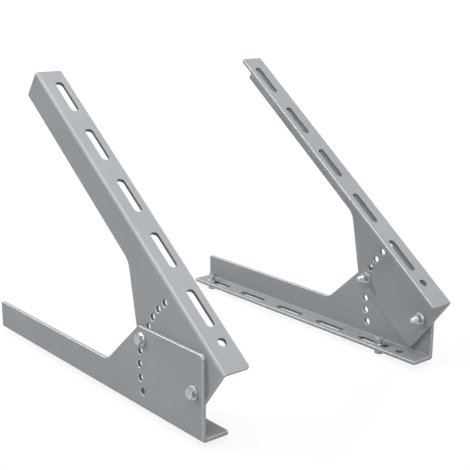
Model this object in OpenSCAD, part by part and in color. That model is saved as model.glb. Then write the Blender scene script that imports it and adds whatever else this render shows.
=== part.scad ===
// Solar panel tilt stand: a mirrored pair of hinged brackets made of stout aluminium angle.
// All four rails are cut and punched alike: a foot rail lies on its flange, and a panel rail is
// the same piece turned over, laid inside the foot rail's wall and swung up about the hinge bolt.

/* [Rails] */
// Length of every rail from its hinged front end to its back end
rail_l = 400; // [300:1:600]
// Height of the upright wall along the slim part of a rail
strip_h = 33; // [24:0.5:40]
// Width of the slotted flange, from the wall's outer face to the free edge
flange_w = 31; // [29:0.5:45]
// Thickness of wall and flange
metal_t = 4; // [2:0.1:5]
// Outer radius of the angle's corner
corner_out_r = 3.5; // [0.5:0.1:5]
// Radius of the angle's inner corner
corner_in_r = 1; // [0.4:0.1:2]
// Corner radius of the flange's free edge and of the wall's back end
end_r = 2.5; // [0.5:0.5:5]

/* [Hinge plate] */
// Distance of the hinge bolt from the front end of the rail
pivot_y = 14; // [11:0.5:18]
// Height of the hinge bolt above the outer face of the flange
pivot_z = 46.5; // [43:0.5:60]
// Corner radius of the hinge plate's two tall corners
plate_r = 5; // [2:0.5:9]
// Free space between a plate's corner and the other rail as the corner swings past it
swing_gap = 0.4; // [0.2:0.1:3]
// Radius of the arc of index holes about the hinge bolt
index_r = 87.5; // [75:0.5:105]
// Angle from one index hole to the next
index_angle = 9.3; // [7.5:0.1:10.5]
// Number of index holes in each plate
index_n = 5; // [3:2:5]
// Steps by which the panel rail is let down from its highest tilt
steps_down = 0; // [0:1:2]
// How far the plate keeps its full height past the middle of the arc
plate_over = 1.5; // [0:0.5:8]
// Length of the sloping edge that leads from the plate down to the slim wall
slope_l = 59; // [40:1:90]
// Radius of the hollow corner at the foot of the slope
hollow_r = 20; // [6:1:30]

/* [Slots] */
// Distance of the slot line from the wall's outer face
slot_x = 19; // [18:0.5:20]
// Overall length of a slot
slot_l = 44.5; // [36:0.5:50]
// Distance from one slot centre to the next
slot_pitch = 72; // [62:0.5:90]
// Distance of the first slot centre from the front end
slot_first = 72; // [68:0.5:80]
// Least metal left between the last slot and the back end
slot_end_gap = 10; // [6:0.5:16]
// Distance of the round hole from the front end
round_y = 32; // [28:0.5:36]

/* [Pair] */
// Width over the outer faces of the two foot rails
pair_w = 327; // [150:1:900]

/* [Fasteners] */
// Thread diameter of every bolt
bolt_d = 6; // [5:0.1:8]
// Width across the flats of heads and nuts
hex_af = 10; // [9.5:0.5:12]
// Height of a bolt head
head_h = 4; // [3:0.1:5]
// Height of a nut
nut_h = 5.2; // [4:0.1:6]
// Outer diameter of a flat washer
washer_d = 14; // [12:0.5:16]
// Thickness of a flat washer
washer_t = 1.6; // [1:0.1:2]
// Length of the hinge and lock bolts under the head
clamp_bolt_l = 25; // [22:1:35]
// Length of the ground bolts under the head
ground_bolt_l = 16; // [14:1:30]
// Slack under the heads of the ground bolts, which are only run in by hand
ground_slack = 4.8; // [0:0.1:6]
// Offset of the front ground bolts from the middle of the first slot, backwards if above 0
ground_front_shift = -9.5; // [-12:0.5:12]
// Offset of the back ground bolts from the middle of the last slot, backwards if above 0
ground_back_shift = 15; // [-16:0.5:16]

/* [Clearances] */
// Play of a bolt in its hinge hole or index hole, on the diameter
index_play = 1.5; // [0.6:0.1:2.4]
// Play of a bolt across its slot or in the round hole, on the diameter
slot_play = 3; // [0.6:0.1:4]
// Play of a bolt in its washer, on the diameter
washer_play = 0.4; // [0.2:0.1:0.8]
// Play of a bolt in its nut, on the diameter
nut_play = 0.1; // [0.1:0.1:0.2]

/* [Hidden] */
$fn = 64;

rail_color = [0.60, 0.62, 0.63];
zinc_color = [0.84, 0.85, 0.86];

index_d = bolt_d + index_play;
slot_w = bolt_d + slot_play;
slot_n = floor((rail_l - slot_end_gap - slot_l / 2 - slot_first) / slot_pitch) + 1;

// The plate is as tall as the swing of its rounded front corner past the other rail allows
swing_r = pivot_z - metal_t - corner_in_r - swing_gap - plate_r;
plate_h = pivot_z + plate_r + sqrt(pow(swing_r, 2) - pow(pivot_y - plate_r, 2));
// The plate's back edge follows the arc of holes
plate_l = pivot_y + index_r + plate_over;
slope_end = plate_l + slope_l;

half_arc = (index_n - 1) / 2 * index_angle;
tilt = (index_n - 1 - steps_down) * index_angle;
// The lock bolt always sits in the foot rail's top index hole
lock_y = pivot_y + index_r * cos(half_arc);
lock_z = pivot_z + index_r * sin(half_arc);

ground_front_y = slot_first + ground_front_shift;
ground_back_y = slot_first + (slot_n - 1) * slot_pitch + ground_back_shift;
ground_seat_z = metal_t + washer_t + ground_slack;

// The stand rests on its ground nuts, or on the bolt ends where they reach lower
drop = max(washer_t + nut_h, ground_bolt_l - ground_seat_z);
// Foremost and rearmost points, which change hands as the panel rail swings
front_y = min(0, pivot_y * (1 - cos(tilt)) - pivot_z * sin(tilt));
back_y = max(rail_l, pivot_y + (rail_l - pivot_y) * cos(tilt));

// Straight pieces in a quarter or smaller turn of an outline
arc_n = 12;
// How far a cutting tool runs past what it cuts
cut_over = 1;
// Slope of the turned chamfer on heads and nuts
chamfer_angle = 30;
// Chamfer at the end of a shank
lead_in = 0.5;

// Point on a circle about c, at angle a and radius r
function on_circle(c, r, a) = [c[0] + r * cos(a), c[1] + r * sin(a)];

// Rounded corner at point p between the neighbours a and b, bulging or hollow alike
function fillet(a, p, b, r) =
    let (
        u = (a - p) / norm(a - p),
        v = (b - p) / norm(b - p),
        half = acos(u * v) / 2,
        back = r / tan(half),
        c = p + (u + v) / norm(u + v) * r / sin(half),
        p0 = p + u * back,
        a0 = atan2(p0[1] - c[1], p0[0] - c[0]),
        p1 = p + v * back,
        a1 = atan2(p1[1] - c[1], p1[0] - c[0]),
        turn = (a1 - a0 + 540) % 360 - 180
    )
    [for (i = [0:arc_n]) on_circle(c, r, a0 + turn * i / arc_n)];

// Side outline of a rail: [along the rail, away from the flange]
module side_outline() {
    front_foot = [0, 0];
    back_foot = [rail_l, 0];
    back_top = [rail_l, strip_h];
    hollow = [slope_end, strip_h];
    plate_back = [plate_l, plate_h];
    plate_front = [0, plate_h];
    polygon(concat(
        [front_foot, back_foot],
        fillet(back_foot, back_top, hollow, end_r),
        fillet(back_top, hollow, plate_back, hollow_r),
        fillet(hollow, plate_back, plate_front, plate_r),
        fillet(plate_back, plate_front, front_foot, plate_r)
    ));
}

// Cross-section of the angle: [away from the wall's outer face, away from the flange's outer face]
module angle_section() {
    out_c = [corner_out_r, corner_out_r];
    in_c = [metal_t + corner_in_r, metal_t + corner_in_r];
    polygon(concat(
        [for (i = [0:arc_n]) on_circle(out_c, corner_out_r, 180 + 90 * i / arc_n)],
        [[flange_w, 0], [flange_w, metal_t]],
        [for (i = [0:arc_n]) on_circle(in_c, corner_in_r, 270 - 90 * i / arc_n)],
        [[metal_t, plate_h], [0, plate_h]]
    ));
}

// Flange seen from above, with its free corners rounded: [across, along]
module flange_outline() {
    intersection() {
        square([flange_w, rail_l]);
        union() {
            square([flange_w - end_r, rail_l]);
            translate([0, end_r]) square([flange_w, rail_l - 2 * end_r]);
            for (y = [end_r, rail_l - end_r]) translate([flange_w - end_r, y]) circle(end_r);
        }
    }
}

module slot(y) {
    for (s = [-1, 1]) translate([slot_x, y + s * (slot_l - slot_w) / 2, -cut_over])
        cylinder(d = slot_w, h = metal_t + 2 * cut_over);
    translate([slot_x - slot_w / 2, y - (slot_l - slot_w) / 2, -cut_over])
        cube([slot_w, slot_l - slot_w, metal_t + 2 * cut_over]);
}

// Hole through the wall at a place along the rail and away from the flange
module wall_hole(y, z) {
    translate([-cut_over, y, z]) rotate([0, 90, 0]) cylinder(d = index_d, h = metal_t + 2 * cut_over);
}

// A rail: wall's outer face on x = 0, flange's outer face on z = 0, front end on y = 0
module rail() {
    difference() {
        intersection() {
            translate([0, rail_l, 0]) rotate([90, 0, 0]) linear_extrude(rail_l) angle_section();
            rotate([90, 0, 90]) linear_extrude(flange_w) side_outline();
            linear_extrude(plate_h) flange_outline();
        }
        for (i = [0:slot_n - 1]) slot(slot_first + i * slot_pitch);
        translate([slot_x, round_y, -cut_over]) cylinder(d = slot_w, h = metal_t + 2 * cut_over);
        wall_hole(pivot_y, pivot_z);
        for (i = [0:index_n - 1]) {
            a = i * index_angle - half_arc;
            wall_hole(pivot_y + index_r * cos(a), pivot_z + index_r * sin(a));
        }
    }
}

module foot_rail() {
    color(rail_color) rail();
}

module panel_rail() {
    color(rail_color)
        translate([metal_t, pivot_y, pivot_z])
            rotate([tilt, 0, 0])
                mirror([0, 0, 1])
                    translate([0, -pivot_y, -pivot_z])
                        rail();
}

// Hexagon prism on z = 0, its upper corners chamfered as on a turned blank, and its lower ones if asked
module hex_blank(h, both = false) {
    flat_r = hex_af / 2;
    corner_r = flat_r / cos(30);
    chamfer_h = (corner_r - flat_r) * tan(chamfer_angle);
    low = both ? [[flat_r, 0], [corner_r, chamfer_h]] : [[corner_r, 0]];
    intersection() {
        cylinder(r = corner_r, h = h, $fn = 6);
        rotate_extrude() polygon(concat([[0, 0]], low, [[corner_r, h - chamfer_h], [flat_r, h], [0, h]]));
    }
}

// Hex bolt: seat of the head on z = 0, head above, shank below and rooted halfway up the head
module hex_bolt(l) {
    shank_r = bolt_d / 2;
    color(zinc_color) {
        hex_blank(head_h);
        rotate_extrude() polygon([
            [0, -l],
            [shank_r - lead_in, -l],
            [shank_r, lead_in - l],
            [shank_r, head_h / 2],
            [0, head_h / 2]
        ]);
    }
}

// Nut standing on z = 0
module hex_nut() {
    color(zinc_color) difference() {
        hex_blank(nut_h, both = true);
        translate([0, 0, -cut_over]) cylinder(d = bolt_d + nut_play, h = nut_h + 2 * cut_over);
    }
}

// Flat washer lying on z = 0
module flat_washer() {
    color(zinc_color) difference() {
        cylinder(d = washer_d, h = washer_t);
        translate([0, 0, -cut_over]) cylinder(d = bolt_d + washer_play, h = washer_t + 2 * cut_over);
    }
}

// Stacks through the walls: x = 0 is the foot rail's outer face and the bolt runs inboard along +x
module across(x) {
    translate([x, 0, 0]) rotate([0, 90, 0]) children();
}

module at_hinge() {
    translate([0, pivot_y, pivot_z]) children();
}

module at_lock() {
    translate([0, lock_y, lock_z]) children();
}

module clamp_bolt() {
    across(-washer_t) mirror([0, 0, 1]) hex_bolt(clamp_bolt_l);
}

module clamp_outer_washer() {
    across(-washer_t) flat_washer();
}

module clamp_inner_washer() {
    across(2 * metal_t) flat_washer();
}

module clamp_nut() {
    across(2 * metal_t + washer_t) hex_nut();
}

// Stacks through the foot flange: z = 0 is the flange's under face
module at_ground(y) {
    translate([slot_x, y, 0]) children();
}

module ground_bolt() {
    translate([0, 0, ground_seat_z]) hex_bolt(ground_bolt_l);
}

module ground_top_washer() {
    translate([0, 0, metal_t]) flat_washer();
}

module ground_under_washer() {
    translate([0, 0, -washer_t]) flat_washer();
}

module ground_nut() {
    translate([0, 0, -washer_t - nut_h]) hex_nut();
}

// Puts a left bracket's piece in place; the right one is its mirror image
module bracket(side) {
    mirror([side == "left" ? 0 : 1, 0, 0])
        translate([-pair_w / 2, -(front_y + back_y) / 2, drop])
            children();
}

bracket("left") foot_rail();  // foot_rail_left
bracket("right") foot_rail();  // foot_rail_right
bracket("left") panel_rail();  // panel_rail_left
bracket("right") panel_rail();  // panel_rail_right

bracket("left") at_hinge() clamp_bolt();  // hinge_bolt_left
bracket("left") at_hinge() clamp_outer_washer();  // hinge_outer_washer_left
bracket("left") at_hinge() clamp_inner_washer();  // hinge_inner_washer_left
bracket("left") at_hinge() clamp_nut();  // hinge_nut_left
bracket("right") at_hinge() clamp_bolt();  // hinge_bolt_right
bracket("right") at_hinge() clamp_outer_washer();  // hinge_outer_washer_right
bracket("right") at_hinge() clamp_inner_washer();  // hinge_inner_washer_right
bracket("right") at_hinge() clamp_nut();  // hinge_nut_right

bracket("left") at_lock() clamp_bolt();  // lock_bolt_left
bracket("left") at_lock() clamp_outer_washer();  // lock_outer_washer_left
bracket("left") at_lock() clamp_inner_washer();  // lock_inner_washer_left
bracket("left") at_lock() clamp_nut();  // lock_nut_left
bracket("right") at_lock() clamp_bolt();  // lock_bolt_right
bracket("right") at_lock() clamp_outer_washer();  // lock_outer_washer_right
bracket("right") at_lock() clamp_inner_washer();  // lock_inner_washer_right
bracket("right") at_lock() clamp_nut();  // lock_nut_right

bracket("left") at_ground(ground_front_y) ground_bolt();  // ground_bolt_front_left
bracket("left") at_ground(ground_front_y) ground_top_washer();  // ground_top_washer_front_left
bracket("left") at_ground(ground_front_y) ground_under_washer();  // ground_under_washer_front_left
bracket("left") at_ground(ground_front_y) ground_nut();  // ground_nut_front_left
bracket("left") at_ground(ground_back_y) ground_bolt();  // ground_bolt_back_left
bracket("left") at_ground(ground_back_y) ground_top_washer();  // ground_top_washer_back_left
bracket("left") at_ground(ground_back_y) ground_under_washer();  // ground_under_washer_back_left
bracket("left") at_ground(ground_back_y) ground_nut();  // ground_nut_back_left

bracket("right") at_ground(ground_front_y) ground_bolt();  // ground_bolt_front_right
bracket("right") at_ground(ground_front_y) ground_top_washer();  // ground_top_washer_front_right
bracket("right") at_ground(ground_front_y) ground_under_washer();  // ground_under_washer_front_right
bracket("right") at_ground(ground_front_y) ground_nut();  // ground_nut_front_right
bracket("right") at_ground(ground_back_y) ground_bolt();  // ground_bolt_back_right
bracket("right") at_ground(ground_back_y) ground_top_washer();  // ground_top_washer_back_right
bracket("right") at_ground(ground_back_y) ground_under_washer();  // ground_under_washer_back_right
bracket("right") at_ground(ground_back_y) ground_nut();  // ground_nut_back_right
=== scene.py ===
import math

import bmesh
import bpy
from mathutils import Matrix, Vector


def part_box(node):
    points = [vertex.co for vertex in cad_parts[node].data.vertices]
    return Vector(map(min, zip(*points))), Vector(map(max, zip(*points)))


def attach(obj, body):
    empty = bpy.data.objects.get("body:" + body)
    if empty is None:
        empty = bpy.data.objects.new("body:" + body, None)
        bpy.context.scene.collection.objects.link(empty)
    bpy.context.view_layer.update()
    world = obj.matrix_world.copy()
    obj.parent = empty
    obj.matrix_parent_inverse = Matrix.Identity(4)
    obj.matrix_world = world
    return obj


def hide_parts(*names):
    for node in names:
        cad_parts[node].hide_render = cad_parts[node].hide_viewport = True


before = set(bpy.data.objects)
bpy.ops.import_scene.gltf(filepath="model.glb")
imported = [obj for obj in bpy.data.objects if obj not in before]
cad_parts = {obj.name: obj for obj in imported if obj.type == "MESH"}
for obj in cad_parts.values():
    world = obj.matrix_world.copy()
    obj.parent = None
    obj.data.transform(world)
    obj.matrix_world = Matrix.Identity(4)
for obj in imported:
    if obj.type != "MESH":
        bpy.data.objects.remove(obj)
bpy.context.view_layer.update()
print("frame loaded:", len(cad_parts), "nodes")

# a tilt stand: two hinged brackets of aluminium angle, bolted up with M6

mm = 0.001                  # shapes are worked out in mm and lifted into metres
weld = 1e-7                 # metres within which two points count as one


# outlines, as lists of (a, b) in mm

def onCircle(centre, radius, degrees):
    angle = math.radians(degrees)
    return (centre[0] + radius * math.cos(angle), centre[1] + radius * math.sin(angle))


def arc(centre, radius, start, sweep, steps):
    # starts at an angle in degrees and sweeps on from it, both ends included
    return [onCircle(centre, radius, start + sweep * i / steps) for i in range(steps + 1)]


def circle(centre, radius, steps=40):
    return arc(centre, radius, 0, 360, steps)[:-1]


def stadium(centre, length, width, steps=18):
    # a slot lying along the second axis
    across, along = centre
    reach = (length - width) / 2
    return (arc((across, along + reach), width / 2, 0, 180, steps)
            + arc((across, along - reach), width / 2, 180, 180, steps))


def roundCorner(before, corner, after, radius, steps=10):
    # the arc that touches both sides of a corner
    p = Vector(corner)
    u = (Vector(before) - p).normalized()
    v = (Vector(after) - p).normalized()
    half = u.angle(v) / 2
    centre = p + (u + v).normalized() * (radius / math.sin(half))
    start = p + u * (radius / math.tan(half)) - centre
    end = p + v * (radius / math.tan(half)) - centre
    first = math.degrees(math.atan2(start.y, start.x))
    turn = (math.degrees(math.atan2(end.y, end.x)) - first + 540) % 360 - 180
    return arc(centre, radius, first, turn, steps)


# a lift turns (a, b, depth) in mm into a point

def upward(a, b, depth):
    return (a * mm, b * mm, depth * mm)


def alongRail(a, b, depth):
    # a runs across the flange and b up the wall
    return (a * mm, depth * mm, b * mm)


def throughWall(a, b, depth):
    # a runs along the rail and b up the wall
    return (depth * mm, a * mm, b * mm)


# meshes

def joinRings(bm, ring, after, slot=0):
    for i in range(len(ring)):
        j = (i + 1) % len(ring)
        face = bm.faces.new((ring[i], after[i], after[j], ring[j]))
        face.material_index = slot


def addPrism(bm, outline, lift, start, end):
    near = [bm.verts.new(lift(a, b, start)) for a, b in outline]
    far = [bm.verts.new(lift(a, b, end)) for a, b in outline]
    bm.faces.new(near)
    bm.faces.new(list(reversed(far)))
    joinRings(bm, near, far)


def addObject(name, data, place=None):
    obj = bpy.data.objects.new(name, data)
    bpy.context.scene.collection.objects.link(obj)
    if place is not None:
        obj.matrix_world = place
    return obj


def meshObject(name, bm, *materials):
    bmesh.ops.recalc_face_normals(bm, faces=bm.faces)
    mesh = bpy.data.meshes.new(name)
    bm.to_mesh(mesh)
    bm.free()
    for material in materials:
        mesh.materials.append(material)
    return addObject(name, mesh)


def prismObject(name, outline, lift, start, end, *materials):
    bm = bmesh.new()
    addPrism(bm, outline, lift, start, end)
    return meshObject(name, bm, *materials)


def applyModifiers(obj):
    deps = bpy.context.evaluated_depsgraph_get()
    made = bpy.data.meshes.new_from_object(obj.evaluated_get(deps))
    obj.modifiers.clear()
    obj.data = made


def cutWith(obj, tool, operation):
    mod = obj.modifiers.new("cut", "BOOLEAN")
    mod.object = tool
    mod.operation = operation
    mod.solver = "EXACT"
    mod.material_mode = "TRANSFER"
    applyModifiers(obj)
    bpy.data.objects.remove(tool)


def easeEdges(obj, width, sharpAngle, finish):
    # chamfers each edge that turns by more than the sharp angle, in a finish of its own
    mod = obj.modifiers.new("eased edges", "BEVEL")
    mod.width = width * mm
    mod.segments = 1
    mod.limit_method = "ANGLE"
    mod.angle_limit = math.radians(sharpAngle)
    mod.material = obj.data.materials.find(finish.name)
    mod.use_clamp_overlap = False
    applyModifiers(obj)


def tidyMesh(obj, distance):
    straight = math.radians(0.4)
    bm = bmesh.new()
    bm.from_mesh(obj.data)
    bmesh.ops.remove_doubles(bm, verts=bm.verts, dist=distance * mm)
    bmesh.ops.dissolve_degenerate(bm, dist=distance * mm, edges=bm.edges)
    # points that only split a straight edge would hold the eased edges back
    bmesh.ops.dissolve_limit(bm, angle_limit=straight, verts=bm.verts, edges=bm.edges,
                             delimit={"MATERIAL"})
    bm.to_mesh(obj.data)
    bm.free()


def shadeFlats(mesh, flatArea):
    # faces above an area in square mm keep their own normal, and curved faces run smoothly into them
    large = flatArea * mm * mm
    alike = 0.82            # cosine of the widest turn that still runs smoothly
    mesh.shade_smooth()
    flatAt = {}
    curvedAt = {}
    for face in mesh.polygons:
        group = flatAt if face.area > large else curvedAt
        for v in face.vertices:
            group.setdefault(v, []).append(face.normal.copy())
    normals = []
    for face in mesh.polygons:
        for v in face.vertices:
            if face.area > large:
                normals.append(face.normal.copy())
                continue
            flats = [n for n in flatAt.get(v, []) if n.dot(face.normal) > alike]
            curves = [n for n in curvedAt[v] if n.dot(face.normal) > alike]
            if flats:
                normals.append(max(flats, key=face.normal.dot))
            else:
                normals.append(sum(curves, Vector((0, 0, 0))).normalized())
    mesh.normals_split_custom_set(normals)


def shadeSharp(mesh, sharpAngle):
    mesh.shade_smooth()
    mesh.set_sharp_from_angle(angle=math.radians(sharpAngle))


# material nodes

def startMaterial(name):
    material = bpy.data.materials.new(name)
    material.use_nodes = True
    tree = material.node_tree
    return material, tree, tree.nodes["Principled BSDF"]


def setInputs(tree, node, inputs):
    # an input takes a plain value, or the output of another node
    for key, value in inputs.items():
        if isinstance(value, bpy.types.NodeSocket):
            tree.links.new(value, node.inputs[key])
        else:
            node.inputs[key].default_value = value


def addNode(tree, kind, inputs=None, **settings):
    node = tree.nodes.new("ShaderNode" + kind)
    for key, value in settings.items():
        setattr(node, key, value)
    setInputs(tree, node, inputs or {})
    return node


def stretchedCoords(tree, *scale):
    coords = addNode(tree, "TexCoord")
    mapping = addNode(tree, "Mapping", {"Vector": coords.outputs["Object"], "Scale": scale})
    return mapping.outputs["Vector"]


def noiseAt(tree, vector, scale, detail):
    noise = addNode(tree, "TexNoise", {"Vector": vector, "Scale": scale, "Detail": detail})
    return noise.outputs["Fac"]


def spread(tree, noise, low, high):
    # most of a noise lies between 0.3 and 0.7
    ranged = addNode(tree, "MapRange", {"Value": noise, "From Min": 0.3, "From Max": 0.7,
                                        "To Min": low, "To Max": high})
    return ranged.outputs["Result"]


def shadeBetween(tree, noise, dark, light):
    mix = addNode(tree, "Mix", {"Factor": spread(tree, noise, 0, 1), "A": (*dark, 1), "B": (*light, 1)},
                  data_type="RGBA")
    return mix.outputs["Result"]


def bumpFrom(tree, height, strength, distance, under=None):
    bump = addNode(tree, "Bump", {"Height": height, "Strength": strength, "Distance": distance * mm})
    if under:
        tree.links.new(under, bump.inputs["Normal"])
    return bump.outputs["Normal"]


# finishes of the rails

railFinish = {
    "dark": (0.298, 0.313, 0.329),
    "light": (0.322, 0.338, 0.354),
    "roughness": (0.50, 0.57),
    "cutDark": (0.34, 0.355, 0.37),
    "cutLight": (0.42, 0.435, 0.45),
    "cutRoughness": (0.40, 0.56),
    # painted shade: the walls of the holes and slots are coloured darker than the faces, as if in shadow
    "holeShadeDark": (0.17, 0.178, 0.186),
    "holeShadeLight": (0.22, 0.23, 0.24),
    "holeRoughness": (0.46, 0.62),
    # wear and painted highlight: the chamfers and hole mouths are coloured much lighter than the faces
    "edge": (0.70, 0.71, 0.72),
    "edgeRoughness": (0.42, 0.54),
    "edgeMetallic": 0.3,
    "metallic": 0.25,
    "specular": 0.2,
    "blastGrain": 2400.0,   # this and the next three are noise scales
    "dieLines": 1300.0,
    "sawMarks": 1900.0,
    "tearMarks": 1300.0,
    "dieStretch": 0.012,    # the smaller, the further a mark is drawn out
    "sawStretch": 0.2,
    "tearStretch": 0.15,
}


def blastedAluminium():
    # bead-blasted extrusion: faint die lines along the rail under an even grain
    material, tree, shader = startMaterial("blastedAluminium")
    even = stretchedCoords(tree, 1, 1, 1)
    cloud = noiseAt(tree, even, scale=14, detail=3)
    smear = noiseAt(tree, even, scale=45, detail=4)
    along = stretchedCoords(tree, 1, railFinish["dieStretch"], 1)
    dieLines = noiseAt(tree, along, railFinish["dieLines"], detail=3)
    grain = noiseAt(tree, even, railFinish["blastGrain"], detail=2)
    lines = bumpFrom(tree, dieLines, strength=0.05, distance=0.04)
    setInputs(tree, shader, {
        "Base Color": shadeBetween(tree, cloud, railFinish["dark"], railFinish["light"]),
        "Roughness": spread(tree, smear, *railFinish["roughness"]),
        "Metallic": railFinish["metallic"],
        "Specular IOR Level": railFinish["specular"],
        "Normal": bumpFrom(tree, grain, strength=0.06, distance=0.05, under=lines),
    })
    return material


def sawnAluminium():
    # cut ends and edges, with saw marks across the thickness
    material, tree, shader = startMaterial("sawnAluminium")
    stain = noiseAt(tree, stretchedCoords(tree, 1, 1, 1), scale=160, detail=3)
    across = stretchedCoords(tree, railFinish["sawStretch"], 1, railFinish["sawStretch"])
    marks = noiseAt(tree, across, railFinish["sawMarks"], detail=3)
    setInputs(tree, shader, {
        "Base Color": shadeBetween(tree, stain, railFinish["cutDark"], railFinish["cutLight"]),
        "Roughness": spread(tree, marks, *railFinish["cutRoughness"]),
        "Metallic": railFinish["metallic"],
        "Specular IOR Level": railFinish["specular"],
        "Normal": bumpFrom(tree, marks, strength=0.22, distance=0.08),
    })
    return material


def shearedAndShadedAluminium():
    # walls of the punched slots and holes, with torn marks from the press in their roughness and bump;
    # their dark colour is painted shade inside the holes
    material, tree, shader = startMaterial("shearedAndShadedAluminium")
    stain = noiseAt(tree, stretchedCoords(tree, 1, 1, 1), scale=130, detail=3)
    through = stretchedCoords(tree, 1, 1, railFinish["tearStretch"])
    tearing = noiseAt(tree, through, railFinish["tearMarks"], detail=3)
    setInputs(tree, shader, {
        # the dark colour here is painted shade inside the holes and slots
        "Base Color": shadeBetween(tree, stain, railFinish["holeShadeDark"], railFinish["holeShadeLight"]),
        "Roughness": spread(tree, tearing, *railFinish["holeRoughness"]),
        "Metallic": railFinish["metallic"],
        "Specular IOR Level": railFinish["specular"],
        "Normal": bumpFrom(tree, tearing, strength=0.22, distance=0.06),
    })
    return material


def tumbledEdgeAndHighlight():
    # edges rubbed bright by tumbling and handling; the lighter colour is partly this wear and partly a
    # painted highlight along the chamfers and hole mouths
    material, tree, shader = startMaterial("tumbledEdgeAndHighlight")
    even = stretchedCoords(tree, 1, 1, 1)
    wear = noiseAt(tree, even, scale=220, detail=4)
    scuffs = noiseAt(tree, even, scale=700, detail=2)
    setInputs(tree, shader, {
        # lighter than the faces: part wear, part painted highlight
        "Base Color": shadeBetween(tree, wear, railFinish["cutLight"], railFinish["edge"]),
        "Roughness": spread(tree, scuffs, *railFinish["edgeRoughness"]),
        "Metallic": railFinish["edgeMetallic"],
    })
    return material


# finish of the fasteners

zincFinish = {
    "dark": (0.50, 0.51, 0.52),
    "light": (0.68, 0.69, 0.70),
    "roughness": (0.18, 0.32),
    "metallic": 1.0,
}


def brightZinc():
    material, tree, shader = startMaterial("brightZinc")
    even = stretchedCoords(tree, 1, 1, 1)
    bloom = noiseAt(tree, even, scale=380, detail=4)
    haze = noiseAt(tree, even, scale=900, detail=3)
    grain = noiseAt(tree, even, scale=1500, detail=2)
    setInputs(tree, shader, {
        "Base Color": shadeBetween(tree, bloom, zincFinish["dark"], zincFinish["light"]),
        "Roughness": spread(tree, haze, *zincFinish["roughness"]),
        "Metallic": zincFinish["metallic"],
        "Normal": bumpFrom(tree, grain, strength=0.12, distance=0.04),
    })
    return material


railFace = blastedAluminium()
railCut = sawnAluminium()
railHoleShade = shearedAndShadedAluminium()
railEdgeAndHighlight = tumbledEdgeAndHighlight()
zinc = brightZinc()
print("materials made")


# camera at the photo's angle

camera = {
    "eye": (-0.6591, -0.82957, 0.4206),
    "target": (0.0, -0.03522, 0.147079),
    "roll": 0.232,          # degrees
    "lens": 74.16,
    "sensor": 36.0,
    "clipStart": 0.01,
    "clipEnd": 50.0,
}


def addCamera():
    data = bpy.data.cameras.new("camera")
    data.lens = camera["lens"]
    data.sensor_width = camera["sensor"]
    data.clip_start = camera["clipStart"]
    data.clip_end = camera["clipEnd"]
    ahead = (Vector(camera["target"]) - Vector(camera["eye"])).normalized()
    right = ahead.cross(Vector((0, 0, 1))).normalized()
    up = right.cross(ahead)
    axes = Matrix((right, up, -ahead)).transposed().to_4x4()
    roll = Matrix.Rotation(math.radians(camera["roll"]), 4, "Z")
    place = Matrix.Translation(camera["eye"]) @ axes @ roll
    bpy.context.scene.camera = addObject("camera", data, place)


addCamera()
print("camera placed")


# rails: one angle, cut and punched, that all four are copies of

# in mm; the plate's height comes from the frame
rail = {
    "length": 400.0,
    "stripHeight": 33.0,
    "flangeWidth": 31.0,
    "thickness": 4.0,
    "cornerOuter": 3.5,
    "cornerInner": 1.0,
    "endRadius": 2.5,
    "plateLength": 103.0,
    "plateRadius": 5.0,
    "slopeLength": 59.0,
    "hollowRadius": 20.0,
    "pivotAlong": 14.0,
    "pivotHeight": 46.5,
    "indexRadius": 87.5,
    "indexStep": 9.3,       # degrees between index holes
    "indexCount": 5,
    "indexHole": 7.5,
    "slotAcross": 19.0,
    "slotLength": 44.5,
    "slotWidth": 9.0,
    "slotPitch": 72.0,
    "slotFirst": 72.0,
    "slotCount": 5,
    "roundAlong": 32.0,
    "tilt": 37.2,           # degrees the panel rails stand at
    "easedEdge": 0.5,       # legs of the tumbled chamfer
    "slotEdge": 0.3,        # roll at the mouths of the punched slots
    "indexEdge": 0.5,       # and the deburred mouths of the pivot and index holes
    "flatArea": 300.0,      # faces above this, in square mm, are shaded dead flat
}

overrun = 1.0               # mm by which a cutter passes the metal

# material slots of the punches, which the punched rail takes over
wallSlot = 0
faceSlot = 1
edgeSlot = 2


def railOutline(height):
    # the wall seen from its outer side: along the rail, away from the flange
    front = (0, 0)
    back = (rail["length"], 0)
    backTop = (rail["length"], rail["stripHeight"])
    hollow = (rail["plateLength"] + rail["slopeLength"], rail["stripHeight"])
    plateBack = (rail["plateLength"], height)
    plateFront = (0, height)
    return ([front, back]
            + roundCorner(back, backTop, hollow, rail["endRadius"])
            + roundCorner(backTop, hollow, plateBack, rail["hollowRadius"])
            + roundCorner(hollow, plateBack, plateFront, rail["plateRadius"])
            + roundCorner(plateBack, plateFront, front, rail["plateRadius"]))


def railSection(height):
    # the angle seen from its front end: away from the wall's outer face, away from the flange's
    outer = rail["cornerOuter"]
    inner = rail["thickness"] + rail["cornerInner"]
    return (arc((outer, outer), outer, 180, 90, steps=8)
            + [(rail["flangeWidth"], 0), (rail["flangeWidth"], rail["thickness"])]
            + arc((inner, inner), rail["cornerInner"], 270, -90, steps=5)
            + [(rail["thickness"], height), (0, height)])


def flangeOutline():
    # the flange seen from below: away from the wall, along the rail
    front, back = (-overrun, 0), (-overrun, rail["length"])
    frontCorner, backCorner = (rail["flangeWidth"], 0), (rail["flangeWidth"], rail["length"])
    return ([front]
            + roundCorner(front, frontCorner, backCorner, rail["endRadius"])
            + roundCorner(frontCorner, backCorner, back, rail["endRadius"])
            + [back])


def addPunch(bm, outlineAt, lift, roll, mouthSlot):
    # a punch that flares where it leaves the metal, so that the mouth of its hole is rolled over
    through = rail["thickness"]
    flare = roll + overrun
    levels = [(-overrun, flare), (roll, 0), (through - roll, 0), (through + overrun, flare)]
    rings = [[bm.verts.new(lift(a, b, depth)) for a, b in outlineAt(wider)] for depth, wider in levels]
    bm.faces.new(rings[0])
    bm.faces.new(list(reversed(rings[-1])))
    for slot, ring, after in zip((mouthSlot, wallSlot, mouthSlot), rings, rings[1:]):
        joinRings(bm, ring, after, slot)


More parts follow.
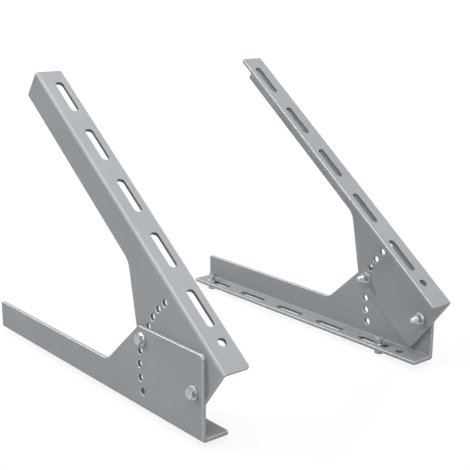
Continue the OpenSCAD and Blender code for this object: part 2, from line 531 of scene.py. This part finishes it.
def addSlots(bm):
    # five long slots and the round hole on one line down the flange
    length, width, across = rail["slotLength"], rail["slotWidth"], rail["slotAcross"]
    for i in range(rail["slotCount"]):
        centre = (across, rail["slotFirst"] + i * rail["slotPitch"])
        addPunch(bm, lambda wider: stadium(centre, length + 2 * wider, width + 2 * wider), upward,
                 rail["slotEdge"], faceSlot)
    addPunch(bm, lambda wider: circle((across, rail["roundAlong"]), width / 2 + wider), upward,
             rail["slotEdge"], faceSlot)


def addIndexHoles(bm):
    # the pivot hole, and the arc of index holes about it
    pivot = (rail["pivotAlong"], rail["pivotHeight"])
    half = (rail["indexCount"] - 1) / 2
    places = [onCircle(pivot, rail["indexRadius"], (i - half) * rail["indexStep"])
              for i in range(rail["indexCount"])]
    for place in [pivot] + places:
        addPunch(bm, lambda wider: circle(place, rail["indexHole"] / 2 + wider), throughWall,
                 rail["indexEdge"], edgeSlot)


def makeRail():
    low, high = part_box("foot_rail_left")
    height = (high.z - low.z) / mm
    body = prismObject("railBlank", railSection(height), alongRail, -overrun, rail["length"] + overrun,
                       railFace, railCut, railEdgeAndHighlight, railHoleShade)
    sideTool = prismObject("sideTool", railOutline(height), throughWall,
                           -overrun, rail["flangeWidth"] + overrun, railCut)
    cutWith(body, sideTool, "INTERSECT")
    flangeTool = prismObject("flangeTool", flangeOutline(), upward, -overrun, height + overrun, railCut)
    cutWith(body, flangeTool, "INTERSECT")
    tidyMesh(body, distance=0.02)
    easeEdges(body, rail["easedEdge"], sharpAngle=40, finish=railEdgeAndHighlight)
    punches = bmesh.new()
    addSlots(punches)
    addIndexHoles(punches)
    cutWith(body, meshObject("punches", punches, railHoleShade, railFace, railEdgeAndHighlight), "DIFFERENCE")
    return body


def putRail(master, name, node, change, place):
    mesh = master.data.copy()
    mesh.transform(change)
    if change.determinant() < 0:
        mesh.flip_normals()
    shadeFlats(mesh, rail["flatArea"])
    obj = addObject(name, mesh, place)
    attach(obj, "root")
    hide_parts(node)


def addRails():
    master = makeRail()
    hinge = Vector((0, rail["pivotAlong"] * mm, rail["pivotHeight"] * mm))
    swing = Matrix.Rotation(math.radians(rail["tilt"]), 4, "X")
    # a panel rail is the other side's angle turned over at its hinge, which comes to a mirror in z
    turnedOver = Matrix.Scale(-1, 4, (0, 0, 1)) @ Matrix.Translation(-hinge)
    for side, inward in (("left", 1), ("right", -1)):
        low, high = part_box("foot_rail_" + side)
        handed = Matrix.Scale(inward, 4, (1, 0, 0))
        footPlace = Matrix.Translation((low.x if side == "left" else high.x, low.y, low.z))
        toHinge = Matrix.Translation(hinge + Vector((inward * rail["thickness"] * mm, 0, 0)))
        putRail(master, "footAngle_" + side, "foot_rail_" + side, handed, footPlace)
        putRail(master, "panelAngle_" + side, "panel_rail_" + side, handed @ turnedOver,
                footPlace @ toHinge @ swing)
    bpy.data.objects.remove(master)


addRails()
print("rails made")


# M6 fasteners, in mm, each made once on the z axis and copied to its places

def turned(profile, steps=48):
    # revolves a profile of (radius, height) about the z axis
    # the profile starts and ends on the axis, or it ends where it starts
    bm = bmesh.new()
    rings = []
    for radius, height in profile:
        points = circle((0, 0), radius * mm, steps) if radius else [(0, 0)]
        rings.append([bm.verts.new((x, y, height * mm)) for x, y in points])
    for ring, after in zip(rings, rings[1:]):
        for i in range(steps):
            j = (i + 1) % steps
            corners = [ring[i % len(ring)], ring[j % len(ring)],
                       after[j % len(after)], after[i % len(after)]]
            unique = list(dict.fromkeys(corners))
            if len(unique) > 2:
                bm.faces.new(unique)
    bmesh.ops.remove_doubles(bm, verts=bm.verts, dist=weld)
    return bm


hexShape = {
    "acrossFlats": 10.0,
    "cornerRadius": 0.4,
    "rimClearance": 0.2,    # the turned tool clears the corners by this
    "coneAngle": 30.0,
    "coneCarry": 1.3,       # carries the cone on to the tool's rim
    "flatArea": 4.0,        # faces above this, in square mm, are shaded dead flat
}

nutShape = {
    "height": 5.2,
    "bore": 6.1,
    "boreMouth": 6.8,       # countersink at both ends
}


def hexBlank(name, height, bored):
    # a hex turned to a cone at its corners: a head at its outer end, a bored nut at both ends
    flat = hexShape["acrossFlats"] / 2
    corner = flat / math.cos(math.radians(30))
    rim = corner + hexShape["rimClearance"]
    drop = (corner - flat) * math.tan(math.radians(hexShape["coneAngle"])) * hexShape["coneCarry"]
    top = [(rim, height - drop), (flat, height)]
    if bored:
        bore, mouth = nutShape["bore"] / 2, nutShape["boreMouth"] / 2
        sink = mouth - bore
        profile = ([(mouth, 0), (flat, 0), (rim, drop)] + top
                   + [(mouth, height), (bore, height - sink), (bore, sink), (mouth, 0)])
    else:
        profile = [(0, 0), (rim, 0)] + top + [(0, height)]
    corners = circle((0, 0), corner, steps=6)
    outline = []
    for i in range(6):
        outline += roundCorner(corners[i - 1], corners[i], corners[(i + 1) % 6],
                               hexShape["cornerRadius"], steps=3)
    blank = prismObject(name, outline, upward, 0, height, zinc)
    cutWith(blank, meshObject("turnedTool", turned(profile), zinc), "INTERSECT")
    tidyMesh(blank, distance=0.002)
    shadeFlats(blank.data, hexShape["flatArea"])
    return blank


boltShape = {
    "thread": 6.0,          # diameter over the crests
    "pitch": 1.0,
    "threadDepth": 0.58,
    "leadIn": 0.7,
    "tipRelief": 0.1,       # the tip is thinner than the root by this
    "headHeight": 4.0,
    "collarHeight": 0.3,    # turned bearing face under the head
    "collarDiameter": 8.9,
    "collarEdge": 0.1,
    "collarSunk": 0.1,      # and how far it goes up into the head
}


def threadedShank(length):
    # a vee thread, its grid sheared along the helix so that crest and root stay crisp
    pitch, leadIn = boltShape["pitch"], boltShape["leadIn"]
    crest = boltShape["thread"] / 2
    root = crest - boltShape["threadDepth"]
    tip = root - boltShape["tipRelief"]
    # one turn, as shares of the pitch and radii
    turn = [(0.0, crest), (0.06, crest), (0.44, root), (0.56, root), (0.94, crest)]
    steps = 32
    spare = 3               # turns past the shank, for the two planes that trim its ends
    lift = 0.0113           # keeps every point clear of those planes
    bm = bmesh.new()
    grid = []
    for wound in range(math.ceil(length / pitch) + spare):
        for share, radius in turn:
            z = lift - (wound + share - 1) * pitch
            grid.append([bm.verts.new((x, y, (z - pitch * i / steps) * mm))
                         for i, (x, y) in enumerate(circle((0, 0), radius * mm, steps))])
    for row in range(len(grid) - len(turn) - 1):
        for i in range(steps):
            j = (i + 1) % steps
            over = row if j else row + len(turn)
            bm.faces.new((grid[row][i], grid[row + 1][i], grid[over + 1][j], grid[over][j]))
    for height, outward in ((0.0, (0, 0, 1)), (-length, (0, 0, -1))):
        trimEnd(bm, height * mm, outward)
    for vert in bm.verts:
        past = vert.co.z / mm + length
        if past < leadIn:
            limit = (tip + (crest - tip) * past / leadIn) * mm
            radius = math.hypot(vert.co.x, vert.co.y)
            if radius > limit:
                vert.co.x *= limit / radius
                vert.co.y *= limit / radius
    return bm


def trimEnd(bm, height, outward):
    # cuts the shank square and closes it with a fan of faces
    everything = list(bm.verts) + list(bm.edges) + list(bm.faces)
    bmesh.ops.bisect_plane(bm, geom=everything, plane_co=(0, 0, height), plane_no=outward,
                           clear_outer=True, dist=weld)
    middle = bm.verts.new((0, 0, height))
    rim = [edge for edge in bm.edges
           if edge.is_boundary and all(abs(v.co.z - middle.co.z) < 10 * weld for v in edge.verts)]
    for edge in rim:
        bm.faces.new((*edge.verts, middle))


def makeBolt(name, length):
    # head, collar and shank are one mesh: the collar's flat covers the shank's top
    shank = meshObject(name, threadedShank(length), zinc)
    shadeSharp(shank.data, sharpAngle=28)
    collar = boltShape["collarHeight"]
    head = hexBlank("head", boltShape["headHeight"] - collar, bored=False)
    head.data.transform(Matrix.Translation((0, 0, collar * mm)))
    radius, edge = boltShape["collarDiameter"] / 2, boltShape["collarEdge"]
    top = collar + boltShape["collarSunk"]
    profile = [(0, 0), (radius - edge, 0), (radius, edge), (radius, top), (0, top)]
    bearing = meshObject("bearing", turned(profile), zinc)
    with bpy.context.temp_override(active_object=shank, selected_editable_objects=[shank, head, bearing]):
        bpy.ops.object.join()
    return shank


washerShape = {
    "hole": 6.4,
    "lowEdge": 0.12,
    "holeEdge": 0.25,
    "topRoll": 0.35,
}


def makeWasher(name, diameter, thickness):
    # stamped: rounded over on top, square with a slight roll below
    outer, hole = diameter / 2, washerShape["hole"] / 2
    low, bevel, roll = washerShape["lowEdge"], washerShape["holeEdge"], washerShape["topRoll"]
    profile = ([(hole, low), (hole + low, 0), (outer - low, 0), (outer, low)]
               + arc((outer - roll, thickness - roll), roll, 0, 90, steps=6)
               + [(hole + bevel, thickness), (hole, thickness - bevel), (hole, low)])
    washer = meshObject(name, turned(profile, steps=56), zinc)
    shadeSharp(washer.data, sharpAngle=40)
    return washer


def extent(node, axis):
    # a node's size along one axis, in mm
    low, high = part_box(node)
    return (getattr(high, axis) - getattr(low, axis)) / mm


def makeSet(name, boltNode, washerNode, along, across):
    # a bolt, a nut and a washer in the sizes of two nodes that stand along one axis
    return {
        "bolt": makeBolt(name + "Bolt", extent(boltNode, along) - boltShape["headHeight"]),
        "nut": hexBlank(name + "Nut", nutShape["height"], bored=True),
        "washer": makeWasher(name + "Washer", extent(washerNode, across), extent(washerNode, along)),
    }


def putFastener(masters, kind, name, node, place):
    master = masters[kind.split("_")[-1]]
    obj = addObject(name, master.data, place)
    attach(obj, "root")
    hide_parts(node)


def removeSet(masters):
    for master in masters.values():
        bpy.data.objects.remove(master)


# degrees by which a set is turned about its own bolt
clampTurns = {"hinge": {"left": 8, "right": 21}, "lock": {"left": 24, "right": -5}}
groundTurns = {"front_left": 12, "back_left": 40, "front_right": 26, "back_right": 3}


def addClampSets():
    # through both walls of a bracket, at the hinge and at the index hole in use; the heads are outside
    masters = makeSet("clamp", "hinge_bolt_left", "hinge_outer_washer_left", along="x", across="y")
    head = boltShape["headHeight"] * mm
    for spot, sides in clampTurns.items():
        for side, degrees in sides.items():
            left = side == "left"
            outward = Matrix.Rotation(math.radians(-90 if left else 90), 4, "Y")
            spin = Matrix.Rotation(math.radians(degrees), 4, "Z")
            for kind in ("bolt", "outer_washer", "inner_washer", "nut"):
                node = spot + "_" + kind + "_" + side
                low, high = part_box(node)
                centre = (low + high) / 2
                if kind == "bolt":
                    seat = low.x + head if left else high.x - head
                else:
                    seat = high.x if left else low.x
                place = Matrix.Translation((seat, centre.y, centre.z)) @ outward @ spin
                putFastener(masters, kind, "clamp_" + kind + "_" + spot + "_" + side, node, place)
    removeSet(masters)


def addGroundSets():
    # down through the slots of the foot rails; the heads are on top
    masters = makeSet("ground", "ground_bolt_front_left", "ground_top_washer_front_left",
                      along="z", across="x")
    head = boltShape["headHeight"] * mm
    for spot, degrees in groundTurns.items():
        spin = Matrix.Rotation(math.radians(degrees), 4, "Z")
        for kind in ("bolt", "top_washer", "under_washer", "nut"):
            node = "ground_" + kind + "_" + spot
            low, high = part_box(node)
            centre = (low + high) / 2
            seat = high.z - head if kind == "bolt" else low.z
            place = Matrix.Translation((centre.x, centre.y, seat)) @ spin
            putFastener(masters, kind, node + "_piece", node, place)
    removeSet(masters)


addClampSets()
addGroundSets()
print("fasteners made")


# floor and light

studio = {
    "floorSize": 40.0,
    "floorColour": (0.52, 0.52, 0.52),
    "floorGlow": 0.80,      # share of plain white in the floor as the camera sees it
    "floorMirror": 0.15,    # and as the metal mirrors it
    "whiteStrength": 1.10,
    "whiteFrom": 0.7,       # metres out, where the floor starts to run into plain white
    "whiteAt": 1.8,
    "skyStrength": 0.08,
    "skyMirror": 1.00,
}


def paleFloor():
    # a matt floor that glows towards white, for the camera more than for the metal
    material, tree, shader = startMaterial("paleFloor")
    tree.nodes.remove(shader)
    path = addNode(tree, "LightPath").outputs
    coords = addNode(tree, "TexCoord")
    distance = addNode(tree, "VectorMath", {0: coords.outputs["Object"]}, operation="LENGTH")
    clear = addNode(tree, "MapRange", {"Value": distance.outputs["Value"],
                                       "From Min": studio["whiteFrom"], "From Max": studio["whiteAt"],
                                       "To Min": studio["floorGlow"], "To Max": 1.0})
    seen = addNode(tree, "Math", {0: clear.outputs["Result"], 1: path["Is Camera Ray"]},
                   operation="MULTIPLY")
    mirrored = addNode(tree, "Math", {0: path["Is Glossy Ray"], 1: studio["floorMirror"],
                                      2: seen.outputs[0]}, operation="MULTIPLY_ADD")
    share = addNode(tree, "Math", {0: mirrored.outputs[0], 1: path["Is Transmission Ray"]},
                    operation="MAXIMUM")
    diffuse = addNode(tree, "BsdfDiffuse", {"Color": (*studio["floorColour"], 1)})
    glow = addNode(tree, "Emission", {"Strength": studio["whiteStrength"]})
    mix = addNode(tree, "MixShader", {"Fac": share.outputs[0], 1: diffuse.outputs[0],
                                      2: glow.outputs[0]})
    setInputs(tree, tree.nodes["Material Output"], {"Surface": mix.outputs[0]})
    return material


def addFloor():
    bm = bmesh.new()
    bmesh.ops.create_grid(bm, x_segments=1, y_segments=1, size=studio["floorSize"])
    floor = meshObject("floor", bm, paleFloor())


def addWorld():
    # plain white to the camera and to what the metal mirrors, and dim as a light
    world = bpy.data.worlds.new("studio")
    bpy.context.scene.world = world
    world.use_nodes = True
    tree = world.node_tree
    path = addNode(tree, "LightPath").outputs
    seen = addNode(tree, "Math", {0: path["Is Camera Ray"], 1: path["Is Transmission Ray"]},
                   operation="MAXIMUM")
    lit = addNode(tree, "MapRange", {"Value": path["Is Glossy Ray"], "To Min": studio["skyStrength"],
                                     "To Max": studio["skyMirror"]})
    strength = addNode(tree, "Math", {0: seen.outputs[0], 1: lit.outputs["Result"]},
                       operation="MAXIMUM")
    setInputs(tree, tree.nodes["Background"], {"Color": (1, 1, 1, 1), "Strength": strength.outputs[0]})


softboxAim = (0, 0, 0.1)
softboxes = {
    "key": {"power": 95.0, "size": 0.5, "place": (-2.50, 2.40, 2.9)},
    "fill": {"power": 22.0, "size": 1.5, "place": (-2.7, -2.5, 1.3)},
    "right": {"power": 26.0, "size": 1.5, "place": (3.7, 0.5, 1.2)},
    "top": {"power": 96.0, "size": 2.2, "place": (-0.35, -0.75, 2.9)},
}


def addSoftbox(name, power, size, place):
    data = bpy.data.lights.new(name, "AREA")
    data.shape = "SQUARE"
    data.size = size
    data.energy = power
    obj = addObject(name, data)
    obj.location = place
    obj.rotation_mode = "QUATERNION"
    obj.rotation_quaternion = (Vector(softboxAim) - Vector(place)).to_track_quat("-Z", "Y")


addFloor()
addWorld()
for name, values in softboxes.items():
    addSoftbox(name, **values)
bpy.context.scene.view_settings.view_transform = "Standard"
print("floor and light set")
